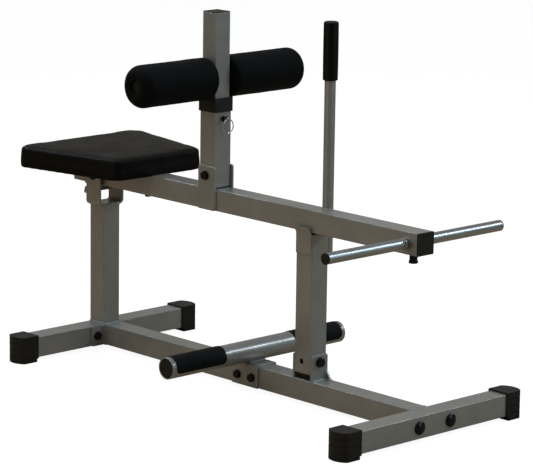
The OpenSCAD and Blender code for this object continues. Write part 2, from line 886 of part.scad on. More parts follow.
module pull_ring() color(plated) {
    seat_rise = 0.4;      // the wire's curve sits a little above the eye's centre
    at(0, ring_s, pin_z + seat_rise - ring_r) along_y()
        rotate_extrude($fn = 96) translate([ring_r, 0]) circle(ring_wire_r, $fn = 32);
}

main_rail();
front_flange();
rear_flange();
front_crossbar();
rear_crossbar();
front_left_foot_cap();
front_right_foot_cap();
rear_left_foot_cap();
rear_right_foot_cap();
front_crossbar_bolts();
rear_crossbar_bolts();
seat_post();
clevis();
lever_pivot_bolt();
lever_pivot_nut();
catch_bracket_plates();
catch_gusset();
catch_pivot_bolt();
catch_pivot_nut();
foot_saddle();
foot_saddle_bolts();
foot_bar();
foot_bar_plugs();
foot_grip_left();
foot_grip_right();
lever_beam();
beam_end_caps();
pivot_tube();
pivot_bushes();
weight_peg_left();
weight_peg_right();
peg_caps();
rubber_bumper();
thigh_plate_left();
thigh_plate_right();
thigh_sleeve();
sleeve_plug();
sleeve_collar();
thigh_plate_bolt();
pin_barrel();
pin_spring();
seat_pad();
seat_board();
seat_bolts();
seat_tee_nuts();
catch_post();
catch_lip();
catch_pivot_tube();
catch_foot_plug();
catch_rest_pad();
catch_handle();
handle_grip();
thigh_tube();
thigh_tube_plug();
roller_axle();
axle_caps();
foam_roller_left();
foam_roller_right();
pull_pin();
pull_ring();
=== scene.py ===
"""Looks for a seated calf raise machine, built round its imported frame.

Everything is in metres in the frame's own axes: +Z up, +Y from the weight pegs to the seat.
"""
import json
import math
import random

import bmesh
import bpy
from mathutils import Matrix, Vector, noise

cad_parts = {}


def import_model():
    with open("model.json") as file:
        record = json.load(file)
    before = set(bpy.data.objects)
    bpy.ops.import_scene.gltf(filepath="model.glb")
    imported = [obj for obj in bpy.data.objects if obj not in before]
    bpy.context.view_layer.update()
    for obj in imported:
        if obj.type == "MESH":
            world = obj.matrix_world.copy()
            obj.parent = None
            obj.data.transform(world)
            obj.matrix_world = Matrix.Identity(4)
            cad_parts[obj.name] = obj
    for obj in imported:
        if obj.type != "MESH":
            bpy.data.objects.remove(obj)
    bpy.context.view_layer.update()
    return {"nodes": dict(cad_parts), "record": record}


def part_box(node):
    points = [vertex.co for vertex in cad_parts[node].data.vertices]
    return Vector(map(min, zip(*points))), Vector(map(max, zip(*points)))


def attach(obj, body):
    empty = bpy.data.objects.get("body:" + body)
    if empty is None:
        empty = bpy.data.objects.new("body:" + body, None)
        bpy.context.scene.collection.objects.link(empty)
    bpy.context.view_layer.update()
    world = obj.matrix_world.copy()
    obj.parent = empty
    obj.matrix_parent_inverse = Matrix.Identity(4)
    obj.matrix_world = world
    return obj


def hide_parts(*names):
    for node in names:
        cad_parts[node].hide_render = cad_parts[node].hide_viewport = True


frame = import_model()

MM = 0.001
NODES = frame["nodes"]


# ---- node graphs -------------------------------------------------------------------------------

class Graph:
    """A material's node tree with short calls for the nodes that the materials below share."""

    def __init__(self, name):
        self.material = bpy.data.materials.new(name)
        self.material.use_nodes = True
        self.tree = self.material.node_tree
        self.tree.nodes.clear()
        self.out = self.add("ShaderNodeOutputMaterial")
        self.place = self.add("ShaderNodeTexCoord").outputs["Object"]

    def add(self, kind, **settings):
        node = self.tree.nodes.new(kind)
        for key, value in settings.items():
            setattr(node, key, value)
        return node

    def join(self, source, target):
        self.tree.links.new(source, target)

    def feed(self, socket, value):
        """Sets an input to a number, a colour or another node's output."""
        if isinstance(value, bpy.types.NodeSocket):
            self.join(value, socket)
        else:
            socket.default_value = value

    def stretch(self, scale):
        """Object coordinates scaled per axis."""
        mapping = self.add("ShaderNodeMapping")
        self.join(self.place, mapping.inputs["Vector"])
        mapping.inputs["Scale"].default_value = scale
        return mapping.outputs["Vector"]

    def noise(self, size, detail=3.0, rough=0.55, place=None):
        """Noise from 0 to 1 whose features are about size metres across."""
        node = self.add("ShaderNodeTexNoise")
        self.join(place or self.place, node.inputs["Vector"])
        node.inputs["Scale"].default_value = 1 / size
        node.inputs["Detail"].default_value = detail
        node.inputs["Roughness"].default_value = rough
        return node.outputs["Fac"]

    def cells(self, size, feature="F1", output="Distance", place=None):
        """Voronoi cells about size metres across."""
        node = self.add("ShaderNodeTexVoronoi", feature=feature)
        self.join(place or self.place, node.inputs["Vector"])
        node.inputs["Scale"].default_value = 1 / size
        return node.outputs[output]

    def math(self, operation, a, b):
        node = self.add("ShaderNodeMath", operation=operation)
        self.feed(node.inputs[0], a)
        self.feed(node.inputs[1], b)
        return node.outputs[0]

    def remap(self, value, low, high, from_low=0.0, from_high=1.0):
        """Maps value from one range to another, held at both ends."""
        node = self.add("ShaderNodeMapRange")
        self.feed(node.inputs["Value"], value)
        node.inputs["From Min"].default_value = from_low
        node.inputs["From Max"].default_value = from_high
        node.inputs["To Min"].default_value = low
        node.inputs["To Max"].default_value = high
        return node.outputs["Result"]

    def mix(self, share, a, b):
        """Colour between a and b."""
        node = self.add("ShaderNodeMix", data_type="RGBA")
        self.feed(node.inputs["Factor"], share)
        self.feed(node.inputs["A"], a)
        self.feed(node.inputs["B"], b)
        return node.outputs["Result"]

    def bump(self, height, depth, below=None):
        """Normal of a surface whose height goes from 0 to depth metres."""
        node = self.add("ShaderNodeBump")
        node.inputs["Strength"].default_value = 1.0
        node.inputs["Distance"].default_value = depth
        self.join(height, node.inputs["Height"])
        if below is not None:
            self.join(below, node.inputs["Normal"])
        return node.outputs["Normal"]

    def rounded(self, radius):
        """Normal that turns gently across sharp edges."""
        bevel = self.add("ShaderNodeBevel", samples=6)
        bevel.inputs["Radius"].default_value = radius
        return bevel.outputs["Normal"]

    def edges(self, radius):
        """1 at sharp edges, 0 on open faces."""
        geometry = self.add("ShaderNodeNewGeometry")
        dot = self.add("ShaderNodeVectorMath", operation="DOT_PRODUCT")
        self.join(self.rounded(radius), dot.inputs[0])
        self.join(geometry.outputs["Normal"], dot.inputs[1])
        on_edge, on_face = 0.80, 0.995
        return self.remap(dot.outputs["Value"], 1.0, 0.0, on_edge, on_face)

    def surface(self, **inputs):
        """Ends the graph in a principled surface and returns the material."""
        shader = self.add("ShaderNodeBsdfPrincipled")
        for key, value in inputs.items():
            self.feed(shader.inputs[key.replace("_", " ")], value)
        self.join(shader.outputs["BSDF"], self.out.inputs["Surface"])
        return self.material


def grey(level, tint=(1.0, 1.0, 1.0)):
    return (level * tint[0], level * tint[1], level * tint[2], 1.0)


# ---- materials ---------------------------------------------------------------------------------

PAINT_TINT = (1.0, 1.0, 0.96)
STEEL_TINT = (0.96, 1.0, 1.03)
PLASTIC_TINT = (1.0, 0.95, 0.88)
VINYL_TINT = (1.1, 1.0, 0.85)
FOAM_TINT = (0.85, 1.0, 1.15)


def frame_paint():
    """Silver-grey powder coat: fine flake, orange peel, a little grime, and lighter edges, partly
    rubbed paint and partly painted highlight.
    """
    g = Graph("frame_paint")
    flake = g.cells(0.0006, output="Color")
    blotch = g.noise(0.045, detail=4)
    patches = g.remap(blotch, 0.0, 1.0, 0.35, 0.65)
    base = g.mix(patches, grey(0.295, PAINT_TINT), grey(0.33, PAINT_TINT))
    speckled = g.mix(0.05, base, flake)
    # edges mixed lighter: partly rubbed paint, partly a painted highlight along the corners
    rubbed_and_highlit = g.mix(g.math("MULTIPLY", g.edges(0.0012), 0.35), speckled, grey(0.52))
    grime = g.remap(g.noise(0.012, detail=6, rough=0.7), 0.0, 0.16, 0.62, 0.78)
    colour = g.mix(grime, rubbed_and_highlit, grey(0.20, (1.0, 0.97, 0.93)))
    peel = g.bump(g.noise(0.0022, detail=2), 0.00002, below=g.rounded(0.0026))
    grain = g.bump(g.noise(0.0005, detail=1), 0.00002, below=peel)
    rough = g.remap(g.noise(0.02, detail=3), 0.30, 0.38, 0.3, 0.7)
    return g.surface(Base_Color=colour, Metallic=0.42, Roughness=rough, Normal=grain,
                     Coat_Weight=0.30, Coat_Roughness=0.16)


def polished_steel():
    """Bright plated steel with fine lengthwise polishing lines."""
    g = Graph("polished_steel")
    lines = g.noise(0.0012, detail=4, place=g.stretch((0.04, 1.0, 1.0)))
    haze = g.noise(0.03, detail=4)
    colour = g.mix(haze, grey(0.38, STEEL_TINT), grey(0.44, STEEL_TINT))
    rough = g.math("ADD", g.remap(lines, 0.30, 0.34), g.remap(haze, 0.0, 0.04, 0.35, 0.7))
    return g.surface(Base_Color=colour, Metallic=1.0, Roughness=rough,
                     Normal=g.bump(lines, 0.000001))


def bright_chrome():
    """Mirror-bright wire with a few dull specks."""
    g = Graph("bright_chrome")
    specks = g.noise(0.002, detail=4)
    return g.surface(Base_Color=g.mix(specks, grey(0.60), grey(0.72)), Metallic=1.0,
                     Roughness=g.remap(specks, 0.06, 0.20, 0.35, 0.7))


def black_plastic():
    """Moulded plastic with a fine spark-eroded grain and pale edges, partly scuffs and partly
    painted highlight.
    """
    g = Graph("black_plastic")
    grain = g.cells(0.0007)
    wave = g.noise(0.03, detail=3)
    base = g.mix(wave, grey(0.0050, PLASTIC_TINT), grey(0.0085, PLASTIC_TINT))
    wear = g.remap(g.noise(0.004, detail=5), 0.15, 0.7, 0.4, 0.7)
    # pale edges: partly scuffs, partly a painted highlight where edges catch the light
    scuff_and_highlight = g.math("MULTIPLY", g.edges(0.0010), wear)
    colour = g.mix(scuff_and_highlight, base, grey(0.045, PLASTIC_TINT))
    skin = g.bump(g.noise(0.006, detail=2), 0.00008)
    return g.surface(Base_Color=colour, Roughness=g.remap(wave, 0.42, 0.56, 0.3, 0.7),
                     Specular_IOR_Level=0.32, Normal=g.bump(grain, 0.00004, below=skin))


def black_bolts():
    """Black plated fasteners, worn brighter along their edges."""
    g = Graph("black_bolts")
    chips = g.remap(g.noise(0.002, detail=4), 0.0, 0.6, 0.4, 0.7)
    wear = g.math("MULTIPLY", g.edges(0.0006), chips)
    colour = g.mix(wear, grey(0.006), grey(0.08))
    rough = g.remap(g.noise(0.005, detail=4), 0.10, 0.20, 0.3, 0.7)
    return g.surface(Base_Color=colour, Metallic=0.1, Roughness=rough,
                     Specular_IOR_Level=0.26, Normal=g.bump(g.noise(0.0012, detail=2), 0.00001))


def black_rubber():
    """Matt rubber with a dusty bloom and a fine pitted skin."""
    g = Graph("black_rubber")
    bloom = g.noise(0.02, detail=5, rough=0.65)
    dust = g.remap(bloom, 0.0, 1.0, 0.35, 0.75)
    colour = g.mix(dust, grey(0.005), grey(0.009, (0.97, 1.0, 1.04)))
    pits = g.bump(g.noise(0.0008, detail=3), 0.00006)
    return g.surface(Base_Color=colour, Roughness=g.remap(bloom, 0.55, 0.72),
                     Specular_IOR_Level=0.22, Normal=pits)


def seat_vinyl():
    """Black upholstery vinyl: pebbled leather grain with finer creases and a soft sheen."""
    g = Graph("seat_vinyl")
    warp = g.noise(0.006, detail=2)
    shifted = g.add("ShaderNodeVectorMath", operation="MULTIPLY_ADD")
    g.join(warp, shifted.inputs[0])
    shifted.inputs[1].default_value = (0.0016,) * 3
    g.join(g.place, shifted.inputs[2])
    pebbles = g.cells(0.0021, feature="DISTANCE_TO_EDGE", place=shifted.outputs["Vector"])
    pebbles = g.remap(pebbles, 0.0, 1.0, 0.0, 0.30)
    tone = g.noise(0.05, detail=4)
    base = g.mix(tone, grey(0.0018, VINYL_TINT), grey(0.0030, VINYL_TINT))
    # darker down in the grain's valleys: painted shade
    colour = g.mix(g.remap(pebbles, 0.5, 0.0), base, grey(0.0010))
    creases = g.bump(g.noise(0.012, detail=5, rough=0.6), 0.0005)
    grain = g.bump(pebbles, 0.00012, below=creases)
    rough = g.math("ADD", g.remap(tone, 0.34, 0.44, 0.3, 0.7), g.remap(pebbles, 0.10, 0.0))
    return g.surface(Base_Color=colour, Roughness=rough, Specular_IOR_Level=0.11, Normal=grain,
                     Specular_Tint=grey(1.0, (1.0, 0.97, 0.90)))


def roller_foam():
    """Closed-cell foam with a matt skin and tiny open pores."""
    g = Graph("roller_foam")
    pores = g.remap(g.cells(0.0011), 0.0, 1.0, 0.12, 0.45)
    tone = g.noise(0.03, detail=5, rough=0.6)
    skin = g.mix(tone, grey(0.0018, FOAM_TINT), grey(0.0032, FOAM_TINT))
    # darker inside the pores: painted shade
    colour = g.mix(pores, grey(0.0010), skin)
    soft = g.bump(g.noise(0.010, detail=4), 0.0004)
    return g.surface(Base_Color=colour, Roughness=0.72, Specular_IOR_Level=0.09,
                     Sheen_Weight=0.012, Sheen_Roughness=0.5, Sheen_Tint=grey(0.6, (0.8, 0.9, 1.1)),
                     Normal=g.bump(pores, 0.00018, below=soft))


def grip_foam():
    """Smooth dipped grip with a faint mould texture."""
    g = Graph("grip_foam")
    tone = g.noise(0.02, detail=4)
    colour = g.mix(tone, grey(0.0018), grey(0.0032, (1.0, 1.0, 0.97)))
    return g.surface(Base_Color=colour, Roughness=g.remap(tone, 0.36, 0.48, 0.3, 0.7),
                     Specular_IOR_Level=0.15, Normal=g.bump(g.noise(0.0009, detail=3), 0.00005))


def grip_sheet():
    """Anti-slip rubber sheet with rows of small raised studs."""
    g = Graph("grip_sheet")
    tone = g.noise(0.02, detail=5, rough=0.65)
    colour = g.mix(tone, grey(0.0040, FOAM_TINT), grey(0.0075, FOAM_TINT))
    coarse = g.bump(g.cells(0.0024), 0.00020)
    return g.surface(Base_Color=colour, Roughness=g.remap(tone, 0.55, 0.70),
                     Specular_IOR_Level=0.12, Normal=g.bump(g.noise(0.0006), 0.00008, below=coarse))


def seat_plywood():
    """Birch plywood with growth lines along the board."""
    g = Graph("seat_plywood")
    grain = g.noise(0.008, detail=6, rough=0.6, place=g.stretch((1.0, 0.06, 1.0)))
    colour = g.mix(grain, (0.30, 0.19, 0.10, 1.0), (0.52, 0.37, 0.21, 1.0))
    return g.surface(Base_Color=colour, Roughness=g.remap(grain, 0.55, 0.75),
                     Normal=g.bump(grain, 0.0002))


def bush_brass():
    """Turned bronze bush with tool rings."""
    g = Graph("bush_brass")
    rings = g.noise(0.0008, detail=3, place=g.stretch((1.0, 0.15, 0.15)))
    colour = g.mix(rings, (0.42, 0.29, 0.12, 1.0), (0.60, 0.44, 0.20, 1.0))
    return g.surface(Base_Color=colour, Metallic=1.0, Roughness=g.remap(rings, 0.28, 0.42),
                     Normal=g.bump(rings, 0.00002))


MATERIALS = {
    make.__name__: make()
    for make in (frame_paint, polished_steel, bright_chrome, black_plastic, black_bolts,
                 black_rubber, seat_vinyl, roller_foam, grip_foam, grip_sheet, seat_plywood,
                 bush_brass)
}


# ---- the frame's own parts ---------------------------------------------------------------------

def shading_group():
    """Geometry nodes that drop stored normals and shade smooth up to a corner angle."""
    sharp_from = math.radians(34)
    group = bpy.data.node_groups.new("shade_by_angle", "GeometryNodeTree")
    group.is_modifier = True
    group.interface.new_socket("Geometry", in_out="INPUT", socket_type="NodeSocketGeometry")
    group.interface.new_socket("Geometry", in_out="OUTPUT", socket_type="NodeSocketGeometry")
    add = group.nodes.new
    start, end = add("NodeGroupInput"), add("NodeGroupOutput")
    plain = add("GeometryNodeRemoveAttribute")
    plain.inputs["Name"].default_value = "custom_normal"
    faces = add("GeometryNodeSetShadeSmooth")
    faces.domain = "FACE"
    corners = add("GeometryNodeSetShadeSmooth")
    corners.domain = "EDGE"
    corners.inputs["Shade Smooth"].default_value = False
    angle = add("GeometryNodeInputMeshEdgeAngle")
    over = add("FunctionNodeCompare")
    over.data_type = "FLOAT"
    over.operation = "GREATER_THAN"
    over.inputs[1].default_value = sharp_from
    links = group.links
    links.new(start.outputs[0], plain.inputs["Geometry"])
    links.new(plain.outputs["Geometry"], faces.inputs["Geometry"])
    links.new(faces.outputs["Geometry"], corners.inputs["Geometry"])
    links.new(angle.outputs["Unsigned Angle"], over.inputs[0])
    links.new(over.outputs["Result"], corners.inputs["Selection"])
    links.new(corners.outputs["Geometry"], end.inputs[0])
    return group


SHADE_BY_ANGLE = shading_group()
EDGE_ROUND = {
    "frame_paint": 0.5 * MM,
    "black_plastic": 0.6 * MM,
    "black_bolts": 0.4 * MM,
    "black_rubber": 0.8 * MM,
    "polished_steel": 0.3 * MM,
    "seat_plywood": 0.5 * MM,
}
NO_ROUNDING = {"pin_spring", "pull_ring", "pull_pin"}
OWN_LOOK = {"pull_ring": "bright_chrome"}


def finish_cad_node(node, slot):
    """Gives a CAD part its material, and softens its edges with modifiers only."""
    node.data.materials.clear()
    node.data.materials.append(MATERIALS[OWN_LOOK.get(node.name, slot)])
    if slot not in EDGE_ROUND or node.name in NO_ROUNDING:
        return
    weld = node.modifiers.new("weld", "WELD")
    weld.merge_threshold = 0.002 * MM
    flat = node.modifiers.new("flat", "DECIMATE")
    flat.decimate_type = "DISSOLVE"
    flat.angle_limit = math.radians(0.3)
    bevel = node.modifiers.new("bevel", "BEVEL")
    bevel.width = EDGE_ROUND[slot]
    bevel.segments = 2
    bevel.limit_method = "ANGLE"
    bevel.angle_limit = math.radians(40)
    shade = node.modifiers.new("shade", "NODES")
    shade.node_group = SHADE_BY_ANGLE
    # keeps the light even across the flats next to a rounded corner
    even = node.modifiers.new("even", "WEIGHTED_NORMAL")
    even.mode = "FACE_AREA"
    even.weight = 100
    even.keep_sharp = True


for part in frame["record"]["subparts"]:
    finish_cad_node(NODES[part["node"]], part["material_slot"])


# ---- mesh helpers ------------------------------------------------------------------------------

def middle(node):
    """Centre of a part's box, and the box's half sizes."""
    low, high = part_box(node)
    return (low + high) / 2, (high - low) / 2


def uneven(point, per_metre, height):
    """Smooth random height at a point, with about per_metre bumps in a metre."""
    return noise.noise(Vector(point) * per_metre) * height


def add_object(name, data):
    thing = bpy.data.objects.new(name, data)
    bpy.context.scene.collection.objects.link(thing)
    return thing


def new_piece(name, bm, material, body):
    """Turns a bmesh into a smooth-shaded piece that rides on a body."""
    bmesh.ops.recalc_face_normals(bm, faces=bm.faces)
    mesh = bpy.data.meshes.new(name)
    bm.to_mesh(mesh)
    bm.free()
    mesh.polygons.foreach_set("use_smooth", [True] * len(mesh.polygons))
    mesh.materials.append(MATERIALS[material])
    piece = add_object(name, mesh)
    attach(piece, body)
    return piece


def bridge(bm, rings, closed=True):
    """Quads between successive rings of vertices."""
    for low, high in zip(rings, rings[1:]):
        count = len(low)
        for i in range(count if closed else count - 1):
            j = (i + 1) % count
            bm.faces.new((low[i], low[j], high[j], high[i]))


def cap_ends(bm, rings):
    """Closes the first and the last ring with a face each."""
    bm.faces.new(rings[-1])
    bm.faces.new(list(reversed(rings[0])))


def thicken(piece, thickness, offset):
    solid = piece.modifiers.new("thickness", "SOLIDIFY")
    solid.thickness = thickness
    solid.offset = offset


def lathe(profile, centre, axis, steps=96):
    """Turned shape: profile is (distance along axis, radius) pairs, closed on itself."""
    bm = bmesh.new()
    turn = Vector(axis).to_track_quat("Z", "Y").to_matrix()
    rings = []
    for along, radius in profile:
        ring = []
        for i in range(steps):
            a = 2 * math.pi * i / steps
            spot = turn @ Vector((radius * math.cos(a), radius * math.sin(a), along))
            ring.append(bm.verts.new(centre + spot))
        rings.append(ring)
    bridge(bm, rings)
    return bm, rings


def arc(centre, radius, start, end, steps):
    """Points (x, y) round an arc, angles in degrees."""
    points = []
    for i in range(steps + 1):
        a = math.radians(start + (end - start) * i / steps)
        points.append((centre[0] + radius * math.cos(a), centre[1] + radius * math.sin(a)))
    return points


# ---- foam rollers ------------------------------------------------------------------------------

def foam_roller(side):
    """Foam tube with rounded ends, a little uneven where it has been leaned on."""
    node = "foam_roller_left" if side > 0 else "foam_roller_right"
    centre, half = middle(node)
    radius = half.z - 0.4 * MM
    bore = middle("roller_axle")[1].z + 0.3 * MM
    cap_radius = middle("axle_caps")[1].z + 0.8 * MM
    cap_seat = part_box("roller_axle")[1].x - abs(centre.x) - 0.3 * MM
    round_in, round_out, chamfer = 12 * MM, 23 * MM, 1.5 * MM
    start, end = round_in - half.x, half.x - round_out
    body_steps = 26
    profile = [(-half.x, bore)]
    profile += arc((start, radius - round_in), round_in, 180, 90, 10)
    profile += [(start + (end - start) * i / body_steps, radius) for i in range(1, body_steps)]
    profile += arc((end, radius - round_out), round_out, 90, 0, 14)
    profile += [(half.x, cap_radius + chamfer), (half.x - chamfer * 0.8, cap_radius)]
    profile += [(cap_seat, cap_radius), (cap_seat, bore)]
    bm, rings = lathe(profile, centre, (side, 0, 0))
    bridge(bm, [rings[-1], rings[0]])
    broad, fine, sunk = 0.45 * MM, 0.12 * MM, 0.3 * MM
    for v in bm.verts:
        offset = v.co - centre
        spoke = Vector((0, offset.y, offset.z))
        if spoke.length > cap_radius * 1.4:
            dents = uneven(v.co, 28, broad) + uneven(v.co, 90, fine)
            v.co += spoke.normalized() * (dents - sunk)
    piece = new_piece(node + "_foam", bm, "roller_foam", node.replace("foam_", ""))
    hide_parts(node)


foam_roller(1)
foam_roller(-1)


# ---- handle grip -------------------------------------------------------------------------------

def handle_grip():
    """Closed-end grip: slightly barrelled, with a rolled mouth and a rounded crown."""
    centre, half = middle("handle_grip")
    radius, bore = half.x - 0.2 * MM, 12.9 * MM
    crown, mouth, lip, depth = 4.5 * MM, 2.5 * MM, 1 * MM, 8 * MM
    waist, belly = 0.1 * MM, 0.3 * MM
    steps = 24
    bottom, top = -half.z, half.z
    profile = [(bottom + depth, bore), (bottom + lip, bore), (bottom, bore + lip)]
    start, end = bottom + mouth, top - crown
    profile += arc((start, radius - mouth), mouth, 180, 90, 6)
    for i in range(1, steps):
        t = i / steps
        swell = math.sin(math.pi * t) * belly - waist
        profile.append((start + (end - start) * t, radius + swell))
    profile += arc((end, radius - crown), crown, 90, 8, 8)
    profile += [(top - 0.1 * MM, radius * 0.62), (top, radius * 0.4), (top, radius * 0.12)]
    bm, rings = lathe(profile, centre, (0, 0, 1), steps=72)
    cap_ends(bm, rings)
    piece = new_piece("handle_grip_sleeve", bm, "grip_foam", "catch")
    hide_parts("handle_grip")


handle_grip()


# ---- anti-slip sheets on the foot bar ----------------------------------------------------------

def foot_sheet(side):
    """Rubber sheet with rounded corners, wrapped over the upper part of the foot bar."""
    node = "foot_grip_left" if side > 0 else "foot_grip_right"
    low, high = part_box(node)
    axis, bar_half = middle("foot_bar")
    bar_r = bar_half.z
    thick = high.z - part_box("foot_bar")[1].z
    inside, outside = sorted((abs(low.x), abs(high.x)))
    reach = math.asin((axis.z - low.z) / (bar_r + thick))
    span = math.pi + 2 * reach
    corner, border = 12 * MM, 4 * MM
    border_share = 0.80             # of the full thickness, where the border lies flat
    rows, columns = 64, 24
    bm = bmesh.new()
    rings = []
    for i in range(rows + 1):
        # rows crowd towards the ends, where the corners are round
        t = 0.5 - 0.5 * math.cos(math.pi * i / rows)
        arc_len = t * span * bar_r
        edge = min(arc_len, span * bar_r - arc_len)
        cut = 0.0
        if edge < corner:
            cut = corner - math.sqrt(max(corner ** 2 - (corner - edge) ** 2, 0.0))
        angle = t * span - reach
        ring = []
        for k in range(columns + 1):
            u = k / columns
            x = inside + cut + (outside - inside - 2 * cut) * u
            risen = min(edge, (outside - inside) * min(u, 1 - u), border) / border
            r = bar_r + thick * (border_share + (1 - border_share) * risen)
            r += uneven((x, angle * 0.05, side), 40, 0.06 * MM)
            y, z = axis.y + r * math.cos(angle), axis.z + r * math.sin(angle)
            ring.append(bm.verts.new((side * x, y, z)))
        rings.append(ring)
    bridge(bm, rings, closed=False)
    piece = new_piece(node + "_sheet", bm, "grip_sheet", "frame")
    thicken(piece, thick * 0.9, -1)
    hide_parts(node)


foot_sheet(1)
foot_sheet(-1)


# ---- seat --------------------------------------------------------------------------------------

SEAT_LOW, SEAT_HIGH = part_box("seat_pad")
SEAT_MIDDLE_Y = (SEAT_LOW.y + SEAT_HIGH.y) / 2
BOARD_LOW, BOARD_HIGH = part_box("seat_board")
SEAT_FRONT_R = 28 * MM
SEAT_REAR_R = 34 * MM
SEAT_FRONT_X = 113.95 * MM          # centre of the front corner's round
SEAT_REAR_X = SEAT_HIGH.x - SEAT_REAR_R
BOARD_INSET = SEAT_HIGH.x - BOARD_HIGH.x


def seat_outline(inset, spacing=5 * MM):
    """Plan of the tapered seat as points in order, shrunk by inset."""
    front_y, rear_y = SEAT_LOW.y + SEAT_FRONT_R, SEAT_HIGH.y - SEAT_REAR_R
    run, spread = rear_y - front_y, SEAT_REAR_X - SEAT_FRONT_X
    # the straight sides touch both corner rounds
    turn = math.asin((SEAT_FRONT_R - SEAT_REAR_R) / math.hypot(run, spread))
    lean = math.degrees(math.atan2(spread, run) - turn)
    corners = [
        (SEAT_FRONT_X, front_y, SEAT_FRONT_R, -90, -lean),
        (SEAT_REAR_X, rear_y, SEAT_REAR_R, -lean, 90),
        (-SEAT_REAR_X, rear_y, SEAT_REAR_R, 90, 180 + lean),
        (-SEAT_FRONT_X, front_y, SEAT_FRONT_R, 180 + lean, 270),
    ]
    points = []
    for x, y, r, start, end in corners:
        points += arc((x, y), r - inset, start, end, 12)
    outline = []
    for (x0, y0), (x1, y1) in zip(points, points[1:] + points[:1]):
        gap = math.hypot(x1 - x0, y1 - y0)
        cuts = max(1, round(gap / spacing))
        outline += [(x0 + (x1 - x0) * i / cuts, y0 + (y1 - y0) * i / cuts) for i in range(cuts)]
    return outline


def stack_rings(levels):
    """Closed shape through seat outlines given as (inset, height) pairs."""
    bm = bmesh.new()
    rings = [[bm.verts.new((x, y, z)) for x, y in seat_outline(inset)] for inset, z in levels]
    bridge(bm, rings)
    cap_ends(bm, rings)
    return bm


RIM_BELOW = 2.5 * MM                # how far the padded rim hangs below the board


def seat_start_mesh():
    """Closed cushion, a little smaller than the finished seat, before it is blown up."""
    shrink, drop = 0.5 * MM, 2 * MM
    bottom, top = BOARD_LOW.z - RIM_BELOW, SEAT_HIGH.z - drop
    foot_r, edge_r = 3 * MM, 7 * MM
    levels = [(shrink + foot_r * (1 - a), bottom + foot_r * (1 + b))
              for a, b in arc((0, 0), 1, -90, 0, 4)]
    levels += [(shrink + edge_r * (1 - a), top - edge_r * (1 - b))
               for a, b in arc((0, 0), 1, 0, 90, 6)]
    return stack_rings(levels)


def apply_modifiers(piece):
    """Makes the piece's modified shape its own mesh."""
    depsgraph = bpy.context.evaluated_depsgraph_get()
    shaped = bpy.data.meshes.new_from_object(piece.evaluated_get(depsgraph))
    piece.modifiers.clear()
    piece.data = shaped


def voxel_remesh(piece, size):
    remesh = piece.modifiers.new("remesh", "REMESH")
    remesh.mode = "VOXEL"
    remesh.voxel_size = size
    apply_modifiers(piece)


def puff(piece, pinned_below, cap):
    """Blows the cushion up with a cloth simulation, moving no point more than cap."""
    rest = [v.co.copy() for v in piece.data.vertices]
    held = piece.vertex_groups.new(name="held")
    for v in piece.data.vertices:
        if v.co.z < pinned_below:
            held.add([v.index], 1.0, "REPLACE")
    cloth = piece.modifiers.new("cloth", "CLOTH")
    settings = cloth.settings
    settings.quality = 7
    settings.mass = 0.3
    settings.use_pressure = True
    settings.uniform_pressure_force = 4.0
    settings.vertex_group_mass = "held"
    settings.tension_stiffness = 6
    settings.compression_stiffness = 6
    settings.shear_stiffness = 4
    settings.bending_stiffness = 25
    settings.effector_weights.gravity = 0
    frames = 20
    scene = bpy.context.scene
    for step in range(1, frames + 1):
        scene.frame_set(step)
    apply_modifiers(piece)
    scene.frame_set(1)
    for v, was in zip(piece.data.vertices, rest):
        moved = v.co - was
        if moved.length > cap:
            v.co = was + moved.normalized() * cap


def crown(piece):
    """Raises the middle of the cushion's top into a shallow dome."""
    rise, skin = 3 * MM, 12 * MM
    half_y = (SEAT_HIGH.y - SEAT_LOW.y) / 2
    for v in piece.data.vertices:
        across = max(0.0, 1 - (v.co.x / SEAT_HIGH.x) ** 2)
        along = max(0.0, 1 - ((v.co.y - SEAT_MIDDLE_Y) / half_y) ** 2)
        near_top = min(1.0, max(0.0, 1 - (SEAT_HIGH.z - v.co.z) / skin))
        v.co.z += rise * across * along * near_top


def board_hollow(piece):
    """Cuts the room for the plywood board out of the cushion's underside."""
    gap, past = 0.4 * MM, 5 * MM
    low, high = BOARD_LOW.z - past, BOARD_HIGH.z + gap
    bm = stack_rings([(BOARD_INSET - gap, low), (BOARD_INSET - gap, high)])
    mesh = bpy.data.meshes.new("board_room")
    bmesh.ops.recalc_face_normals(bm, faces=bm.faces)
    bm.to_mesh(mesh)
    bm.free()
    room = add_object("board_room", mesh)
    cut = piece.modifiers.new("cut", "BOOLEAN")
    cut.operation = "DIFFERENCE"
    cut.solver = "EXACT"
    cut.object = room
    apply_modifiers(piece)
    bpy.data.objects.remove(room)


def sew_front_seam(piece):
    """Presses the cover's vertical seam into the front face."""
    seam_x, half_width, depth = 5 * MM, 1.3 * MM, 1.8 * MM
    wide, narrow, reach = 8 * MM, 5 * MM, 30 * MM
    fade_from, fade_over = SEAT_HIGH.z - 7 * MM, 4 * MM
    bm = bmesh.new()
    bm.from_mesh(piece.data)

    def near(v, width):
        return v.co.y < SEAT_LOW.y + reach and abs(v.co.x - seam_x) < width

    for width in (wide, narrow):
        edges = [e for e in bm.edges if all(near(v, width) for v in e.verts)]
        bmesh.ops.subdivide_edges(bm, edges=edges, cuts=1, use_grid_fill=True)
    for v in bm.verts:
        if near(v, wide) and v.co.z > BOARD_LOW.z + 1 * MM:
            fade = max(0.0, 1.0 - max(0.0, v.co.z - fade_from) / fade_over)
            v.co.y += math.exp(-((v.co.x - seam_x) / half_width) ** 2) * depth * fade
    bm.to_mesh(piece.data)
    bm.free()


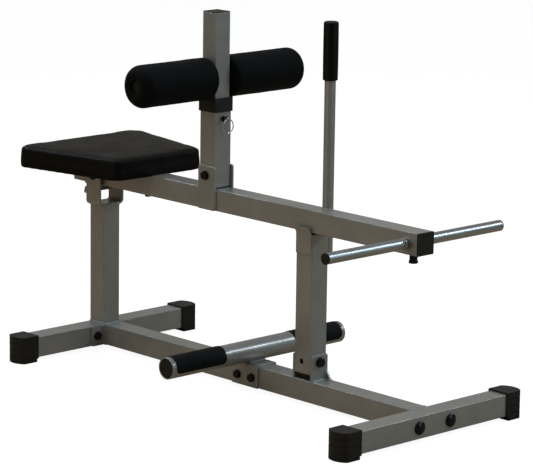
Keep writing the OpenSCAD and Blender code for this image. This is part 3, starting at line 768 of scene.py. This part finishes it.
def seat_cushion():
    """Upholstered pad: crowned top, soft edges, sides that follow the board."""
    piece = new_piece("seat_cushion", seat_start_mesh(), "seat_vinyl", "lever")
    voxel_remesh(piece, 5 * MM)
    puff(piece, pinned_below=BOARD_LOW.z + 16 * MM, cap=1.8 * MM)
    smooth = piece.modifiers.new("smooth", "SMOOTH")
    smooth.iterations = 2
    smooth.factor = 0.5
    finer = piece.modifiers.new("finer", "SUBSURF")
    finer.levels = finer.render_levels = 1
    apply_modifiers(piece)
    crown(piece)
    board_hollow(piece)
    sew_front_seam(piece)
    crease_depth, crease_rise = 0.5 * MM, 10 * MM
    for v in piece.data.vertices:
        height = v.co.z - BOARD_LOW.z
        if height < crease_rise:
            fold = uneven((v.co.x, v.co.y, 0.05), 60, crease_depth)
            v.co.z -= abs(fold) * (1 - height / crease_rise)
    piece.data.polygons.foreach_set("use_smooth", [True] * len(piece.data.polygons))
    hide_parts("seat_pad")


def seat_wrap():
    """The cover's turned-in border under the board, pleated where it goes round corners."""
    start, width, thick = 2.5 * MM, 26 * MM, 0.7 * MM
    ragged, pleat_depth, pleat_turn = 2.5 * MM, 1.3 * MM, 0.55
    beam_clear, corner_from = 32 * MM, 110 * MM
    steps = 8
    edge = seat_outline(start, spacing=3 * MM)
    bm = bmesh.new()
    rings = []
    for k in range(steps + 1):
        share = k / steps
        ring = []
        for i, (x, y) in enumerate(edge):
            ahead, behind = edge[(i + 1) % len(edge)], edge[i - 1]
            run = Vector((ahead[0] - behind[0], ahead[1] - behind[1], 0)).normalized()
            inward = Vector((-run.y, run.x, 0))
            reach = (width + uneven((x, y, 0), 45, ragged)) * share
            cornering = min(1.0, abs(x) / corner_from)
            cornering *= min(1.0, abs(y - SEAT_MIDDLE_Y) / corner_from)
            pleat = abs(math.sin(i * pleat_turn)) * pleat_depth * cornering ** 2 * share
            z = BOARD_LOW.z - thick - (0.0 if abs(x) < beam_clear else pleat)
            ring.append(bm.verts.new(Vector((x, y, z)) + inward * reach))
        rings.append(ring)
    bridge(bm, rings)
    piece = new_piece("seat_wrap", bm, "seat_vinyl", "lever")
    thicken(piece, thick * 0.9, 0)


def seat_staples():
    """Wire staples that hold the turned-in cover to the board."""
    width, wire, leg = 10 * MM, 0.6 * MM, 3 * MM
    flat = wire * 1.6
    beam_clear, every = 34 * MM, 6
    shapes = [((0, 0, 0), (width, flat, wire))]
    shapes += [((side * (width - wire) / 2, 0, leg / 2), (wire, flat, leg)) for side in (-1, 1)]
    dice = random.Random(11)
    outline = seat_outline(17 * MM, spacing=4 * MM)
    bm = bmesh.new()
    for i in range(0, len(outline), every):
        x, y = outline[i]
        if abs(x) < beam_clear:
            continue
        ahead = outline[(i + 1) % len(outline)]
        heading = math.atan2(ahead[1] - y, ahead[0] - x) + dice.uniform(-0.25, 0.25)
        spot = Matrix.Translation((x, y, BOARD_LOW.z - 1.9 * MM))
        place = spot @ Matrix.Rotation(heading, 4, "Z")
        for part, size in shapes:
            scale = Matrix.Diagonal((*size, 1))
            bmesh.ops.create_cube(bm, size=1, matrix=place @ Matrix.Translation(part) @ scale)
    piece = new_piece("seat_staples", bm, "polished_steel", "lever")
    bevel = piece.modifiers.new("bevel", "BEVEL")
    bevel.width = 0.2 * MM


seat_cushion()
seat_wrap()
seat_staples()


# ---- weld beads --------------------------------------------------------------------------------

AXIS_X, AXIS_Y, AXIS_Z = Vector((1, 0, 0)), Vector((0, 1, 0)), Vector((0, 0, 1))
THICK_BEAD, FINE_BEAD = 2.6 * MM, 2.0 * MM
TUBE_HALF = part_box("main_rail")[1].x


def bead(bm, path, radius, closed=False):
    """Rippled weld bead along a path of points."""
    spacing, ripple, sides = 1.1 * MM, 3.4 * MM, 10
    least, scalloped, rough = 0.80, 0.22, 0.16      # shares of the radius
    tip, tip_growth = 0.45, 0.2                     # size of an open end, and its growth per ring
    points = []
    legs = zip(path, path[1:] + path[:1]) if closed else zip(path, path[1:])
    for a, b in legs:
        cuts = max(1, round((b - a).length / spacing))
        points += [a.lerp(b, i / cuts) for i in range(cuts)]
    if not closed:
        points.append(path[-1])
    rings = []
    count = len(points)
    run = 0.0
    for i, point in enumerate(points):
        ahead = points[(i + 1) % count] if closed or i + 1 < count else point
        behind = points[i - 1] if closed or i else point
        run += (point - behind).length
        turn = (ahead - behind).to_track_quat("Z", "Y").to_matrix()
        scallop = abs(math.sin(math.pi * run / ripple))
        swell = least + scalloped * scallop + uneven(point, 160, rough)
        if not closed:
            swell *= min(1.0, tip + min(i, count - 1 - i) * tip_growth)
        ring = []
        for k in range(sides):
            a = 2 * math.pi * k / sides
            out = turn @ Vector((math.cos(a), math.sin(a), 0))
            ring.append(bm.verts.new(point + out * radius * swell))
        rings.append(ring)
    bridge(bm, rings + rings[:1] if closed else rings)
    if not closed:
        cap_ends(bm, rings)


def loop(centre, u, v, half_u, half_v):
    """Rounded rectangle round centre, in the plane of u and v."""
    r = 3 * MM
    points = []
    for a, b, start in ((1, 1, 0), (-1, 1, 90), (-1, -1, 180), (1, -1, 270)):
        for p, q in arc((a * (half_u - r), b * (half_v - r)), r, start, start + 90, 5):
            points.append(centre + u * p + v * q)
    return points


def circle(centre, u, v, radius):
    return [centre + u * p + v * q for p, q in arc((0, 0), radius, 0, 360, 48)[:-1]]


def welds(name, body, beads):
    """One piece holding all the beads of one joint: (path, radius, closed) each."""
    bm = bmesh.new()
    for path, radius, closed in beads:
        bead(bm, path, radius, closed)
    return new_piece(name, bm, "frame_paint", body)


def overspray(node):
    """Film of frame paint on a peg's root, with a ragged outer edge."""
    centre, half = middle(node)
    side = math.copysign(1, centre.x)
    radius = half.z
    film, reach, ragged = 0.20 * MM, 20 * MM, 2.5 * MM
    start = Vector((side * TUBE_HALF, centre.y, centre.z))
    # the film thins out towards its free edge
    profile = [(0.0, radius + film), (reach * 0.6, radius + film), (reach * 0.9, radius + film / 2),
               (reach, radius + film / 5), (reach, radius - film), (0.0, radius - film)]
    bm, rings = lathe(profile, start, (side, 0, 0))
    bridge(bm, [rings[-1], rings[0]])
    for ring in rings[2:5]:
        for v in ring:
            v.co.x += side * uneven((0, v.co.y, v.co.z), 130, ragged)
    new_piece(node.replace("weight_", "") + "_overspray", bm, "frame_paint", "lever")


def frame_welds():
    """Beads round the seat post's ends and the rail's flanges."""
    def square(centre, u, v, radius):
        return [(loop(centre, u, v, TUBE_HALF, TUBE_HALF), radius, True)]

    post, half = middle("seat_post")
    foot, head = (Vector((0, post.y, post.z + end * half.z)) for end in (-1, 1))
    welds("weld_seat_post_foot", "frame", square(foot, AXIS_X, AXIS_Y, THICK_BEAD))
    welds("weld_seat_post_head", "frame", square(head, AXIS_X, AXIS_Y, THICK_BEAD))

    rail, half = middle("main_rail")
    rear, front = (Vector((0, rail.y + end * half.y, rail.z)) for end in (1, -1))
    welds("weld_rear_flange", "frame", square(rear, AXIS_X, AXIS_Z, THICK_BEAD))
    welds("weld_front_flange", "frame", square(front, AXIS_X, AXIS_Z, FINE_BEAD))


def catch_bracket_welds():
    """Beads along both plates' feet, and along the gusset's foot and heel."""
    low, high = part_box("catch_bracket_plates")
    across = TUBE_HALF - 3 * MM
    paths = [[Vector((x, y, low.z)) for x in (-across, across)] for y in (low.y, high.y)]
    low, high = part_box("catch_gusset")
    toe, heel, tip = low.y + 1 * MM, high.y, high.z - 2 * MM
    for x in (low.x, high.x):
        paths.append([Vector((x, toe, low.z)), Vector((x, heel, low.z))])
        paths.append([Vector((x, heel, low.z)), Vector((x, heel, tip))])
    welds("weld_catch_bracket", "frame", [(path, THICK_BEAD, False) for path in paths])


def foot_bar_welds():
    """A bead on each side of the bar, where it lies on its saddle."""
    bar_y = middle("foot_bar")[0].y
    saddle_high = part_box("foot_saddle")[1]
    reach, seam_z = saddle_high.x - 5 * MM, saddle_high.z + 0.9 * MM
    beads = []
    for off in (-9 * MM, 9 * MM):
        ends = [Vector((side * reach, bar_y + off, seam_z)) for side in (-1, 1)]
        beads.append((ends, 3.2 * MM, False))
    welds("weld_foot_bar", "frame", beads)


def thigh_plate_welds():
    """Upright beads down both edges of each plate, on the beam's sides."""
    beam_low, beam_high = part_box("lever_beam")
    heights = beam_low.z + 4 * MM, beam_high.z - 3 * MM
    beads = []
    for node in ("thigh_plate_left", "thigh_plate_right"):
        low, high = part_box(node)
        inner = low.x if low.x > 0 else high.x
        edge_x = inner + math.copysign(0.8 * MM, inner)
        for edge_y in (low.y, high.y):
            beads.append(([Vector((edge_x, edge_y, h)) for h in heights], 3.0 * MM, False))
    welds("weld_thigh_plates", "lever", beads)


def peg_welds():
    """Thin beads round the pegs on the beam's walls, and the paint beside them."""
    pegs = ("weight_peg_left", "weight_peg_right")
    beads = []
    for node in pegs:
        centre, half = middle(node)
        wall = Vector((math.copysign(TUBE_HALF, centre.x), centre.y, centre.z))
        beads.append((circle(wall, AXIS_Y, AXIS_Z, half.z), 1.6 * MM, True))
    welds("weld_pegs", "lever", beads)
    for node in pegs:
        overspray(node)


def roller_axle_welds():
    """Beads round the axle on both walls of the thigh tube."""
    axle, half = middle("roller_axle")
    beads = []
    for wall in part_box("thigh_tube"):
        centre = Vector((wall.x, axle.y, axle.z))
        beads.append((circle(centre, AXIS_Y, AXIS_Z, half.z + 0.6 * MM), FINE_BEAD, True))
    welds("weld_roller_axle", "thigh_carriage", beads)


def catch_handle_welds():
    """Upright beads on both edges of the tab that joins the handle to the post."""
    handle_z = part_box("catch_handle")[0].z
    post_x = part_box("catch_post")[1].x
    tab_y = middle("handle_grip")[0].y
    heights = handle_z + 8 * MM, handle_z + 48 * MM
    beads = []
    for off in (-5 * MM, 5 * MM):
        beads.append(([Vector((post_x, tab_y + off, h)) for h in heights], FINE_BEAD, False))
    welds("weld_catch_handle", "catch", beads)


frame_welds()
catch_bracket_welds()
foot_bar_welds()
thigh_plate_welds()
peg_welds()
roller_axle_welds()
catch_handle_welds()


# ---- camera, light and floor -------------------------------------------------------------------

def camera():
    azimuth, elevation, roll = math.radians(-43.53), math.radians(11.97), math.radians(0.81)
    distance = 6.646
    aim = Vector((0.0340, -0.0304, 0.3545))
    level = math.cos(elevation)
    back = Vector((math.sin(azimuth) * level, -math.cos(azimuth) * level, math.sin(elevation)))
    right = Vector((math.cos(azimuth), math.sin(azimuth), 0))
    up = back.cross(right)
    turned = right * math.cos(roll) + up * math.sin(roll)
    upright = up * math.cos(roll) - right * math.sin(roll)
    data = bpy.data.cameras.new("camera")
    data.sensor_width = 36
    data.sensor_fit = "HORIZONTAL"
    data.lens = 193.54
    data.clip_end = 200
    eye = add_object("camera", data)
    facing = Matrix((turned, upright, back)).transposed().to_4x4()
    eye.matrix_world = Matrix.Translation(aim + back * distance) @ facing
    bpy.context.scene.camera = eye


def softbox(name, place, target, size, power, colour):
    data = bpy.data.lights.new(name, "AREA")
    data.shape = "RECTANGLE"
    data.size, data.size_y = size
    data.energy = power
    data.color = colour
    lamp = add_object(name, data)
    lamp.location = place
    lamp.rotation_euler = (Vector(place) - Vector(target)).to_track_quat("Z", "Y").to_euler()


def lights():
    middle = (0, 0, 0.4)
    softbox("overhead", (-0.3, 0.2, 3.4), middle, (3.2, 3.2), 44, (0.95, 0.98, 1.0))
    softbox("window", (2.4, -2.05, 2.15), middle, (0.7, 0.5), 20, (0.82, 0.94, 1.04))
    softbox("strip", (-0.65, 2.3, 2.5), middle, (1.2, 0.3), 15, (0.80, 0.93, 1.12))
    softbox("front_fill", (1.2, -3.6, 1.6), middle, (2.4, 1.8), 19, (0.60, 0.98, 1.06))
    softbox("side_fill", (-3.8, 0.6, 1.3), middle, (2.4, 1.6), 19.5, (1.0, 0.91, 0.62))


def world():
    """Dim room: brighter overhead, with a lit wall beyond the machine."""
    low_colour, high_colour = (0.10, 0.09, 0.08, 1), (0.42, 0.45, 0.50, 1)
    wall_colour, toward_wall = (0.52, 0.50, 0.45, 1), (0.69, 0.72, 0.10)
    wall_from, strength = 0.35, 0.6
    sky = bpy.data.worlds.new("room")
    sky.use_nodes = True
    tree = sky.node_tree
    tree.nodes.clear()
    add, join = tree.nodes.new, tree.links.new
    place, split = add("ShaderNodeTexCoord"), add("ShaderNodeSeparateXYZ")
    join(place.outputs["Generated"], split.inputs[0])
    ramp = add("ShaderNodeValToRGB")
    join(split.outputs["Z"], ramp.inputs["Fac"])
    ramp.color_ramp.elements[0].color = low_colour
    ramp.color_ramp.elements[1].color = high_colour
    toward = add("ShaderNodeVectorMath")
    toward.operation = "DOT_PRODUCT"
    toward.inputs[1].default_value = toward_wall
    join(place.outputs["Generated"], toward.inputs[0])
    wall = add("ShaderNodeMapRange")
    wall.interpolation_type = "SMOOTHSTEP"
    wall.inputs["From Min"].default_value = wall_from
    wall.inputs["From Max"].default_value = 1.0
    join(toward.outputs["Value"], wall.inputs["Value"])
    mix = add("ShaderNodeMix")
    mix.data_type = "RGBA"
    join(wall.outputs["Result"], mix.inputs["Factor"])
    join(ramp.outputs["Color"], mix.inputs["A"])
    mix.inputs["B"].default_value = wall_colour
    back, out = add("ShaderNodeBackground"), add("ShaderNodeOutputWorld")
    join(mix.outputs["Result"], back.inputs["Color"])
    back.inputs["Strength"].default_value = strength
    join(back.outputs["Background"], out.inputs["Surface"])
    bpy.context.scene.world = sky


def floor():
    """Pale floor that looks bright to the camera and throws back only a little warm light."""
    bounce, glow_strength, half = (0.40, 0.30, 0.21, 1.0), 0.93, 30.0
    g = Graph("floor")
    seen = g.add("ShaderNodeLightPath").outputs["Is Camera Ray"]
    pale = g.add("ShaderNodeBsdfDiffuse")
    g.feed(pale.inputs["Color"], g.mix(g.noise(0.6, detail=3), grey(0.22), grey(0.25)))
    glow = g.add("ShaderNodeEmission")
    glow.inputs["Color"].default_value = grey(1.0)
    glow.inputs["Strength"].default_value = glow_strength
    bright = g.add("ShaderNodeAddShader")
    g.join(pale.outputs[0], bright.inputs[0])
    g.join(glow.outputs[0], bright.inputs[1])
    dim = g.add("ShaderNodeBsdfDiffuse")
    dim.inputs["Color"].default_value = bounce
    mix = g.add("ShaderNodeMixShader")
    g.join(seen, mix.inputs[0])
    g.join(dim.outputs[0], mix.inputs[1])
    g.join(bright.outputs[0], mix.inputs[2])
    g.join(mix.outputs[0], g.out.inputs["Surface"])
    mesh = bpy.data.meshes.new("floor")
    corners = [(-half, -half, 0), (half, -half, 0), (half, half, 0), (-half, half, 0)]
    mesh.from_pydata(corners, [], [(0, 1, 2, 3)])
    mesh.materials.append(g.material)
    add_object("floor", mesh)


camera()
lights()
world()
floor()
bpy.context.scene.view_settings.view_transform = "Standard"
